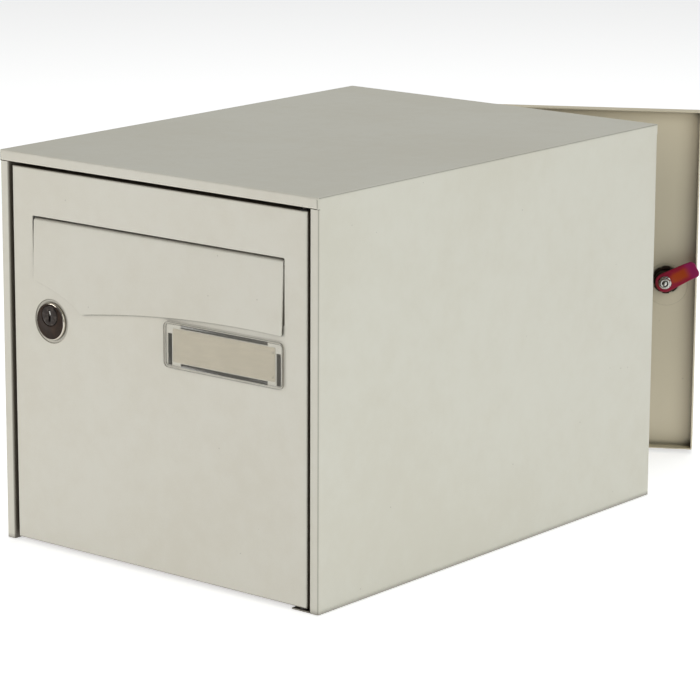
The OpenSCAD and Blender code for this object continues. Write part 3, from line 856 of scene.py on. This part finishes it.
class DROPBOX_OT_hinges(bpy.types.Operator):
    """Finish the hinge pins, clips and bushes and the strikes"""

    bl_idname = "dropbox.hinges"
    bl_label = "Hinges and strikes"

    def execute(self, context):
        zinc = finish_called("zinc_plate", zinc_plate)
        dark = finish_called("black_plate", black_plate)
        black = finish_called("black_nylon", nylon)
        for node in ("front_hinge_pins", "rear_hinge_pins"):
            eased_copy(node, dark, 0.15 * MM)
        eased_copy("hinge_clips", zinc, 0.15 * MM)
        for node in ("front_strike", "rear_strike"):
            eased_copy(node, zinc, 0.25 * MM)
        for node in ("front_hinge_bushes", "rear_hinge_bushes"):
            eased_copy(node, black, 0.12 * MM)
        return {"FINISHED"}


class DROPBOX_OT_letter_flap(bpy.types.Operator):
    """Roll the letter flap from one sheet, and finish its rod, brackets and buffers"""

    bl_idname = "dropbox.letter_flap"
    bl_label = "Letter flap"

    def execute(self, context):
        flap = context.scene.dropbox_flap
        sheet = context.scene.dropbox_sheet
        paint = finish_called("ivory_powder_coat", powder_coat, sheet)
        zinc = finish_called("zinc_plate", zinc_plate)
        low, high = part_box("letter_flap")
        axis = joint_place("letter_flap_hinge")
        width = high.x - low.x
        curl = high.z - axis.z
        # the lowest corner's drop, measured along the leaning plate
        reach = (axis.z - low.z - curl * math.sin(flap.lean)) / math.cos(flap.lean)
        lock_drop = reach - flap.low_drop

        bm = bmesh.new()
        middle = curl - flap.thickness / 2
        curl_steps = 14
        first, last = math.radians(-108), math.radians(180)
        rolled = [first + (last - first) * i / curl_steps for i in range(curl_steps + 1)]
        plate_steps = 8
        columns = []
        for x in self.stations(width, flap):
            drop = self.drop_at(x, width, lock_drop, flap)
            column = [(x, middle * math.cos(a), middle * math.sin(a)) for a in rolled]
            column += [
                (x, -middle, -drop * i / plate_steps) for i in range(1, plate_steps + 1)
            ]
            columns.append([bm.verts.new(point) for point in column])
        for near, far in zip(columns, columns[1:]):
            for i in range(len(near) - 1):
                bm.faces.new((near[i], far[i], far[i + 1], near[i + 1]))
        lean = Matrix.Rotation(-flap.lean, 4, "X")
        start = Matrix.Translation((low.x, axis.y, axis.z))
        bmesh.ops.transform(bm, matrix=start @ lean, verts=bm.verts)
        piece = put_out(
            "letter_flap_rolled", bm, paint, "flap", node_slot("letter_flap"), ["letter_flap"]
        )
        sheet_up = piece.modifiers.new("Sheet", "SOLIDIFY")
        sheet_up.thickness = flap.thickness
        sheet_up.offset = 0.0
        sheet_up.use_even_offset = True
        ease_edges(piece, flap.edge, 3)

        eased_copy("flap_rod", zinc, 0.3 * MM)
        eased_copy("flap_brackets", zinc, 0.15 * MM)
        rubber = finish_called("buffer_rubber", buffer_rubber)
        eased_copy("flap_buffers", rubber, 0.15 * MM, 3)
        return {"FINISHED"}

    @staticmethod
    def stations(width, flap):
        """Places along the flap, closer together at its ends and at its lowest corner."""
        marks = [0, flap.corner, flap.low_in, width - flap.corner, width]
        counts = [8, int(flap.columns * 0.25), int(flap.columns * 0.75), 8]
        places = [0.0]
        for a, b, count in zip(marks, marks[1:], counts):
            places += [a + (b - a) * (i + 1) / count for i in range(count)]
        return places

    @staticmethod
    def drop_at(x, width, lock_drop, flap):
        """How far the flap reaches below the rod at a place along it."""
        if x <= flap.low_in:
            # the curve's parameter at x, from x = 2 t (1 - t) turn_in + t t low_in
            a = flap.low_in - 2 * flap.turn_in
            b = 2 * flap.turn_in
            t = x / b if abs(a) < 1e-9 else (-b + math.sqrt(b * b + 4 * a * x)) / (2 * a)
            drop = lock_drop + 2 * t * (1 - t) * flap.turn_drop + t * t * flap.low_drop
        else:
            rise = flap.low_drop - flap.arch_drop
            run = width - flap.crest_in - flap.low_in
            radius = (run * run + rise * rise) / (2 * rise)
            off = x - (width - flap.crest_in)
            drop = lock_drop + flap.arch_drop + radius - math.sqrt(radius * radius - off * off)
        end = min(x, width - x)
        if end < flap.corner:
            off = flap.corner - end
            drop -= flap.corner - math.sqrt(max(flap.corner**2 - off * off, 0.0))
        return drop


class DROPBOX_OT_locks(bpy.types.Operator):
    """Make both locks: heads, plugs, keyways, ring nuts, cams and cam nuts"""

    bl_idname = "dropbox.locks"
    bl_label = "Locks"

    def execute(self, context):
        locks = context.scene.dropbox_locks
        self.dark = finish_called("lock_moulding", lock_moulding, locks)
        self.plated = finish_called("black_plate", black_plate)
        self.bright = finish_called("nickel_plate", nickel, locks)
        self.measure()
        for side in ("front", "rear"):
            place = LockPlace(side)
            self.housing(place, locks)
            self.plug(place, locks)
            self.shutter(place, locks)
            self.cam_nut(place, locks)
            eased_copy(side + "_lock_nut", self.dark, locks.nut_edge, 2)
            red = finish_called("cam_enamel_" + side, cam_enamel, locks, place)
            eased_copy(side + "_lock_cam", red, locks.cam_edge, 3)
        return {"FINISHED"}

    def measure(self):
        """Depths and radii of the lock's stack, from the front lock's CAD solids."""
        at = joint_place("front_lock_turn")
        low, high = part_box("front_lock_housing")
        self.head_r = (high.x - low.x) / 2
        self.head_y = low.y - at.y
        self.barrel_end = high.y - at.y
        low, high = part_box("front_lock_plug")
        self.plug_r = (high.x - low.x) / 2
        self.plug_y = low.y - at.y
        self.stud_end = high.y - at.y
        low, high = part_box("front_cam_nut")
        self.nut_y = low.y - at.y
        self.nut_r = (high.x - low.x) / 2
        self.nut_end = high.y - at.y
        low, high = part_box("front_lock_nut")
        self.dish_back = low.y - at.y

    def housing(self, place, locks):
        """Head with a rounded rim and a raised ring, and a threaded barrel with two flats."""
        rise = -locks.head_rise
        barrel = 9.0 * MM
        body_bore = 6.6 * MM
        mouth = self.plug_r + 0.06 * MM
        step = 2.05 * MM
        dish = self.dish_back - 1.0 * MM
        r, y = self.head_r, self.head_y

        def barrel_ring(radius, depth):
            return turned_within(radius, depth, flats(8.0 * MM))

        rings = [
            turned(body_bore, self.barrel_end),
            turned_within(barrel - 0.4 * MM, self.barrel_end, flats(7.7 * MM)),
        ]
        rings += thread(
            self.barrel_end - 0.4 * MM,
            self.dish_back,
            barrel,
            locks.thread_pitch,
            locks.thread_depth,
            barrel_ring,
        )
        rings.append(barrel_ring(barrel, dish))
        rim = [
            (0.35, dish), (0.0, dish - 0.35 * MM), (0.0, y + 1.3 * MM), (0.1, y + 0.85 * MM),
            (0.4, y + 0.42 * MM), (0.85, y + 0.16 * MM), (1.5, y + 0.03 * MM), (2.3, y),
        ]
        rings += [turned(r - inset * MM, depth, rise) for inset, depth in rim]
        ring_r = mouth + 1.15 * MM
        rings += [
            turned(ring_r, y + 0.01 * MM),
            turned(ring_r - 0.15 * MM, y - 0.18 * MM),
            turned(ring_r - 0.35 * MM, y - 0.24 * MM),
            turned(ring_r - 0.65 * MM, y - 0.2 * MM),
            turned(mouth + 0.18 * MM, y + 0.1 * MM),
            turned(mouth, y + 0.35 * MM),
            turned(mouth, step),
            turned(body_bore, step),
        ]
        bm = bmesh.new()
        loft(bm, rings, closed=True)
        place_all(bm, place.matrix())
        name = place.side + "_lock_housing"
        piece = put_out(name + "_turned", bm, self.dark, place.door, node_slot(name), [name])
        piece.data.materials.append(finish_called("polished_rim", polished_rim))
        inside = place.matrix().inverted()
        for face in piece.data.polygons:
            at = inside @ face.center
            out = math.hypot(at.x, at.z - rise)
            face.material_index = int(out > r - 0.95 * MM and at.y < 0.2 * MM)

    def plug(self, place, locks):
        """Plug with a chamfered face and keyway, a square tail and a threaded end."""
        y = self.plug_y
        half_w, half_h = locks.key_width / 2, locks.key_height / 2
        step = 1.95 * MM
        back = self.barrel_end
        r, body_r, tail, stud = self.plug_r, 6.5 * MM, 4.0 * MM, 2.0 * MM
        rings = [
            turned_within(r, y + locks.key_depth, slit(half_w, half_h)),
            turned_within(r, y + 0.45 * MM, slit(half_w, half_h)),
            turned_within(r, y + 0.08 * MM, slit(half_w + 0.3 * MM, half_h + 0.3 * MM)),
            turned_within(r, y, slit(half_w + 0.5 * MM, half_h + 0.5 * MM)),
            turned(r - 1.0 * MM, y),
            turned(r - 0.45 * MM, y + 0.12 * MM),
            turned(r - 0.05 * MM, y + 0.5 * MM),
            turned(r, y + 0.8 * MM),
            turned(r, step),
            turned(body_r, step),
            turned(body_r, back - 0.3 * MM),
            turned(body_r - 0.3 * MM, back),
            turned_within(body_r, back, square(tail)),
            turned_within(body_r, self.nut_y, square(tail)),
            turned(stud, self.nut_y),
        ]
        rings += thread(
            self.nut_y + 0.2 * MM,
            self.stud_end - 0.3 * MM,
            stud,
            locks.stud_pitch,
            locks.stud_depth,
            turned,
        )
        rings.append(turned(stud - 0.35 * MM, self.stud_end))
        bm = bmesh.new()
        loft(bm, rings)
        place_all(bm, place.matrix(turned=True))
        name = place.side + "_lock_plug"
        piece = put_out(name + "_turned", bm, self.plated, place.plug, node_slot(name), [name])
        piece.data.materials.append(self.bright)
        inside = place.matrix().inverted()
        for face in piece.data.polygons:
            face.material_index = int((inside @ face.center).y > back - 0.1 * MM)

    def shutter(self, place, locks):
        """Sprung dust shutter that closes the keyway, a little askew."""
        half_w = locks.key_width / 2 - 0.1 * MM
        bm = bmesh.new()
        box(
            bm,
            (-half_w, 0.0, -locks.key_height * 0.08),
            (half_w * 0.7, 0.3 * MM, locks.key_height / 2 - 0.9 * MM),
        )
        tilt = Matrix.Rotation(math.radians(14), 4, "X")
        inside = Matrix.Translation((0, self.plug_y + 1.1 * MM, 0))
        place_all(bm, place.matrix(turned=True) @ inside @ tilt)
        name = place.side + "_lock_shutter"
        piece = put_out(name, bm, self.bright, place.plug, node_slot(place.side + "_cam_nut"))
        ease_edges(piece, 0.06 * MM)

    def cam_nut(self, place, locks):
        """Flanged nut with a crowned hexagon."""
        half = 4.0 * MM
        flange_y = self.nut_y + 0.85 * MM
        bore = 2.1 * MM
        rings = [
            turned(bore, self.nut_y),
            turned(self.nut_r - 0.15 * MM, self.nut_y),
            turned(self.nut_r, self.nut_y + 0.15 * MM),
            turned(self.nut_r, flange_y - 0.2 * MM),
            turned(self.nut_r - 0.25 * MM, flange_y + 0.02 * MM),
            turned_within(self.nut_r, flange_y + 0.35 * MM, hexagon(half)),
            turned_within(4.55 * MM, self.nut_end - 0.75 * MM, hexagon(half)),
            turned_within(4.15 * MM, self.nut_end - 0.3 * MM, hexagon(half)),
            turned_within(3.7 * MM, self.nut_end - 0.05 * MM, hexagon(half)),
            turned(3.2 * MM, self.nut_end),
            turned(bore + 0.45 * MM, self.nut_end),
            turned(bore, self.nut_end - 0.45 * MM),
        ]
        bm = bmesh.new()
        loft(bm, rings, closed=True)
        place_all(bm, place.matrix(turned=True))
        name = place.side + "_cam_nut"
        put_out(name + "_turned", bm, self.bright, place.plug, node_slot(name), [name])


class DROPBOX_OT_name_holder(bpy.types.Operator):
    """Mould the clear name cover with its lip, window and clip tongues, and finish the card"""

    bl_idname = "dropbox.name_holder"
    bl_label = "Name holder"

    def execute(self, context):
        name = context.scene.dropbox_name
        low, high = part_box("name_cover")
        card_low, card_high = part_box("name_card")
        face_y = card_high.y
        width, height = high.x - low.x, high.z - low.z
        top = face_y - low.y
        centre = Vector(((low.x + high.x) / 2, face_y, (low.z + high.z) / 2))

        def ring(inset, out):
            inset *= MM
            radius = max(name.corner - inset, 0.4 * MM)
            return round_rect(width - 2 * inset, height - 2 * inset, radius, -out)

        wall = name.wall / MM
        profile = [
            (wall + 0.3, name.window), (wall, name.window - 0.1 * MM), (wall, 0.0), (0.15, 0.0),
            (0.0, 0.15 * MM), (0.0, top - 0.55 * MM), (0.12, top - 0.22 * MM),
            (0.4, top - 0.03 * MM), (0.6, top), (1.25, top), (1.5, top - 0.08 * MM),
            (1.75, top - 0.3 * MM), (1.95, top - 0.36 * MM), (3.5, top - 0.36 * MM),
            (3.7, top - 0.42 * MM), (3.85, top - 0.55 * MM), (4.1, top - 0.6 * MM),
        ]
        bm = bmesh.new()
        loft(bm, [ring(inset, out) for inset, out in profile])
        self.tongues(bm, name)
        self.pips(bm, width, card_high.z - card_low.z, top - 0.6 * MM)
        place_all(bm, Matrix.Translation(centre))
        clear = finish_called("clear_moulding", clear_moulding, name)
        cover = put_out(
            "name_cover_moulded", bm, clear, "front_door", node_slot("name_cover"), ["name_cover"]
        )
        cover.data.materials.append(finish_called("clear_wall", clear_wall, name))
        # The cover's upright walls get the painted dark refraction and shadow.
        for face in cover.data.polygons:
            face.material_index = int(abs(face.normal.y) < 0.55 and face.center.y < face_y)
        card = finish_called("blank_card", blank_card, name)
        eased_copy("name_card", card, 0.05 * MM)
        return {"FINISHED"}

    @staticmethod
    def tongues(bm, name):
        """Two tongues that pass the door's slots, each with a hook behind the sheet."""
        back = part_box("name_cover")[1].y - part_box("name_card")[1].y
        thick, hook = 1.4 * MM, 0.8 * MM
        outer = name.slot_out + name.slot_height / 2 - 0.05 * MM
        half = name.tongue_length / 2
        for side in (-1, 1):
            near, far = sorted((side * (outer - thick), side * outer))
            box(bm, (-half, -name.window, near), (half, back - 1.0 * MM, far))
            near, far = sorted((side * (outer - thick), side * (outer + hook)))
            box(bm, (-half, back - 1.0 * MM, near), (half, back, far))

    @staticmethod
    def pips(bm, width, card_height, top):
        """Two small moulding pips near the window's hinge end."""
        for z in (-0.36, 0.36):
            spots = [(0.75, 0.0), (0.75, 0.25), (0.6, 0.4), (0.25, 0.45)]
            rings = []
            for radius, out in spots:
                ring = turned(radius * MM, -top - out * MM)
                right, up = width / 2 - 9 * MM, z * card_height
                rings.append([(x + right, y, w + up) for x, y, w in ring])
            loft(bm, rings)


class DROPBOX_OT_spot_welds(bpy.types.Operator):
    """Put rows of spot weld marks on the floor tray and on the rod's brackets"""

    bl_idname = "dropbox.spot_welds"
    bl_label = "Spot welds"

    def execute(self, context):
        weld = context.scene.dropbox_weld
        sheet = context.scene.dropbox_sheet
        mark = self.mark()
        paint = finish_called("casing_powder_coat", casing_coat, sheet)
        zinc = finish_called("zinc_plate", zinc_plate)
        tree = self.row_tree(mark)
        low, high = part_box("floor_panel")
        lip = 1.0 * MM
        floor_low = low.y + (high.y - low.y - self.tray_depth()) / 2
        run = self.tray_depth() - 2 * weld.floor_end
        z = low.z + (high.z - low.z) * 0.55
        rows = []
        for side in (-1, 1):
            x = side * (high.x - lip)
            rows.append(
                {
                    "Count": weld.floor_count,
                    "Start": (x, floor_low + weld.floor_end, z),
                    "Step": (0, run / (weld.floor_count - 1), 0),
                    "Turn": (0, -side * math.pi / 2, 0),
                    "Radius": weld.radius,
                    "Material": paint,
                }
            )
        self.make_rows("floor_spot_welds", tree, rows, "casing", node_slot("floor_panel"))
        low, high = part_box("flap_brackets")
        foot = 10 * MM
        door_back = -self.front_face() + 1.0 * MM
        row = {
            "Count": 2,
            "Start": (low.x + foot / 2, -door_back + 2.5 * MM, high.z - foot / 2),
            "Step": (high.x - low.x - foot, 0, 0),
            "Turn": (-math.pi / 2, 0, 0),
            "Radius": weld.radius * 0.7,
            "Material": zinc,
        }
        self.make_rows("bracket_spot_welds", tree, [row], "front_door", node_slot("flap_brackets"))
        bpy.data.objects.remove(mark)
        return {"FINISHED"}

    @staticmethod
    def front_face():
        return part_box("front_door_panel")[0].y

    @staticmethod
    def tray_depth():
        """Depth of the tray between its front and rear lips."""
        verts = frame["nodes"]["floor_panel"].data.vertices
        tall = [v.co.y for v in verts if v.co.z > TALL]
        return max(tall) - min(tall)

    @staticmethod
    def mark():
        """Shallow crater with a raised rim, of radius 1, facing +Z."""
        bm = bmesh.new()
        profile = [
            (1.0, 0.0), (0.9, 0.045), (0.78, 0.06), (0.62, 0.035), (0.35, 0.015), (0.1, 0.012),
        ]
        steps = 20
        rings = []
        for radius, height in profile:
            turns = (2 * math.pi * i / steps for i in range(steps))
            rings.append([(radius * math.cos(a), radius * math.sin(a), height) for a in turns])
        loft(bm, rings)
        bmesh.ops.recalc_face_normals(bm, faces=bm.faces)
        mesh = mesh_of("weld_mark", bm)
        mesh.shade_smooth()
        return add_object("weld_mark", mesh)

    @staticmethod
    def row_tree(mark):
        """Geometry Nodes that put one row of marks down."""
        tree = bpy.data.node_groups.new("Weld row", "GeometryNodeTree")
        inputs = [
            ("Count", "NodeSocketInt"),
            ("Start", "NodeSocketVector"),
            ("Step", "NodeSocketVector"),
            ("Turn", "NodeSocketVector"),
            ("Radius", "NodeSocketFloat"),
            ("Material", "NodeSocketMaterial"),
        ]
        for name, kind in inputs:
            tree.interface.new_socket(name=name, in_out="INPUT", socket_type=kind)
        tree.interface.new_socket(
            name="Geometry", in_out="OUTPUT", socket_type="NodeSocketGeometry"
        )
        nodes = tree.nodes
        given = nodes.new("NodeGroupInput")
        line = nodes.new("GeometryNodeMeshLine")
        source = nodes.new("GeometryNodeObjectInfo")
        source.inputs["Object"].default_value = mark
        spread = nodes.new("GeometryNodeInstanceOnPoints")
        turn = nodes.new("FunctionNodeEulerToRotation")
        real = nodes.new("GeometryNodeRealizeInstances")
        paint = nodes.new("GeometryNodeSetMaterial")
        result = nodes.new("NodeGroupOutput")
        wires = (
            (given, "Count", line, "Count"),
            (given, "Start", line, "Start Location"),
            (given, "Step", line, "Offset"),
            (given, "Turn", turn, 0),
            (line, "Mesh", spread, "Points"),
            (source, "Geometry", spread, "Instance"),
            (turn, 0, spread, "Rotation"),
            (given, "Radius", spread, "Scale"),
            (spread, "Instances", real, "Geometry"),
            (real, "Geometry", paint, "Geometry"),
            (given, "Material", paint, "Material"),
            (paint, "Geometry", result, "Geometry"),
        )
        for giver, out, taker, into in wires:
            tree.links.new(giver.outputs[out], taker.inputs[into])
        return tree

    @staticmethod
    def make_rows(name, tree, rows, body, slot):
        """Evaluates the tree once for each row and joins the rows into one piece."""
        sockets = {
            item.name: item.identifier
            for item in tree.interface.items_tree
            if item.in_out == "INPUT"
        }
        bm = bmesh.new()
        for row in rows:
            holder = add_object("weld_row", bpy.data.meshes.new("weld_row"))
            modifier = holder.modifiers.new("Weld row", "NODES")
            modifier.node_group = tree
            for key, value in row.items():
                modifier[sockets[key]] = value
            graph = bpy.context.evaluated_depsgraph_get()
            made = bpy.data.meshes.new_from_object(holder.evaluated_get(graph))
            bm.from_mesh(made)
            holder.modifiers.remove(modifier)
            bpy.data.objects.remove(holder)
            bpy.data.meshes.remove(made)
        if not bm.faces:
            raise RuntimeError("No weld marks were made for " + name)
        put_out(name, bm, rows[0]["Material"], body, slot)


class DROPBOX_OT_studio(bpy.types.Operator):
    """Set up the pale floor, the soft lights and the camera"""

    bl_idname = "dropbox.studio"
    bl_label = "Studio"

    def execute(self, context):
        studio = context.scene.dropbox_studio
        scene = context.scene
        self.floor(studio)
        self.world(studio)
        self.softbox("front_softbox", (-1.5, -2.1, 1.25), 1.0, 20.0, (1.0, 0.965, 0.925))
        self.softbox("side_softbox", (2.6, -0.5, 1.3), 1.6, 22.5, (0.95, 1.0, 0.94))
        self.softbox("top_softbox", (-0.4, 1.0, 2.6), 2.0, 35.0, (0.985, 1.0, 0.99))
        self.camera(scene, studio)
        scene.view_settings.view_transform = "Standard"
        return {"FINISHED"}

    @staticmethod
    def floor(studio):
        bm = bmesh.new()
        bmesh.ops.create_grid(bm, x_segments=1, y_segments=1, size=20.0)
        mesh = mesh_of("studio_floor", bm)
        mesh.materials.append(studio_floor(studio))
        floor = add_object("studio_floor", mesh)
        floor.location.z = CAD_BOX[0][2] - 0.3 * MM

    @staticmethod
    def world(studio):
        world = bpy.data.worlds.new("studio_ambient")
        bpy.context.scene.world = world
        world.use_nodes = True
        background = world.node_tree.nodes["Background"]
        background.inputs["Color"].default_value = (0.97, 0.985, 1.0, 1.0)
        background.inputs["Strength"].default_value = studio.sky

    @staticmethod
    def softbox(name, place, size, power, shade):
        """Square area light that looks at the box's middle."""
        lamp = bpy.data.lights.new(name, "AREA")
        lamp.size = size
        lamp.energy = power
        lamp.color = shade
        light = add_object(name, lamp)
        light.location = place
        aim = AIM - Vector(place)
        light.rotation_euler = aim.to_track_quat("-Z", "Y").to_euler()

    @staticmethod
    def camera(scene, studio):
        az, el = studio.azimuth, studio.elevation
        back = Vector((math.sin(az) * math.cos(el), -math.cos(az) * math.cos(el), math.sin(el)))
        right = Vector((math.cos(az), math.sin(az), 0))
        up = back.cross(right)
        target = Vector((0, -2.5 * MM, 150 * MM))
        place = target + back * studio.distance
        place += right * studio.shift_right + up * studio.shift_up
        across = right * math.cos(studio.roll) + up * math.sin(studio.roll)
        lens = bpy.data.cameras.new("studio_camera")
        lens.lens = studio.lens
        lens.sensor_width = 36.0
        lens.clip_end = 100.0
        camera = add_object("studio_camera", lens)
        turn = Matrix((across, back.cross(across), back)).transposed()
        camera.matrix_world = Matrix.Translation(place) @ turn.to_4x4()
        scene.camera = camera


# ---------------------------------------------------------------- panel

STEPS = (
    DROPBOX_OT_studio,
    DROPBOX_OT_casing,
    DROPBOX_OT_doors,
    DROPBOX_OT_hinges,
    DROPBOX_OT_letter_flap,
    DROPBOX_OT_locks,
    DROPBOX_OT_name_holder,
    DROPBOX_OT_spot_welds,
)

SETTINGS = {
    "dropbox_sheet": SheetSettings,
    "dropbox_flap": FlapSettings,
    "dropbox_locks": LockSettings,
    "dropbox_name": NameSettings,
    "dropbox_weld": WeldSettings,
    "dropbox_studio": StudioSettings,
}


class DROPBOX_PT_panel(bpy.types.Panel):
    """Lists the steps that build the drop box"""

    bl_idname = "DROPBOX_PT_panel"
    bl_label = "Drop box"
    bl_space_type = "VIEW_3D"
    bl_region_type = "UI"
    bl_category = "Drop box"

    def draw(self, context):
        for step in STEPS:
            self.layout.operator(step.bl_idname)
        for name in SETTINGS:
            group = getattr(context.scene, name)
            column = self.layout.box().column()
            for prop in group.bl_rna.properties:
                if prop.identifier not in {"rna_type", "name"}:
                    column.prop(group, prop.identifier)


def register():
    for group in SETTINGS.values():
        bpy.utils.register_class(group)
    for name, group in SETTINGS.items():
        setattr(bpy.types.Scene, name, bpy.props.PointerProperty(type=group))
    for step in STEPS:
        bpy.utils.register_class(step)
    bpy.utils.register_class(DROPBOX_PT_panel)


def unregister():
    bpy.utils.unregister_class(DROPBOX_PT_panel)
    for step in reversed(STEPS):
        bpy.utils.unregister_class(step)
    for name in SETTINGS:
        delattr(bpy.types.Scene, name)
    for group in reversed(list(SETTINGS.values())):
        bpy.utils.unregister_class(group)


def main():
    register()
    for step in STEPS:
        group, name = step.bl_idname.split(".")
        getattr(getattr(bpy.ops, group), name)()


if __name__ == "__main__":
    main()
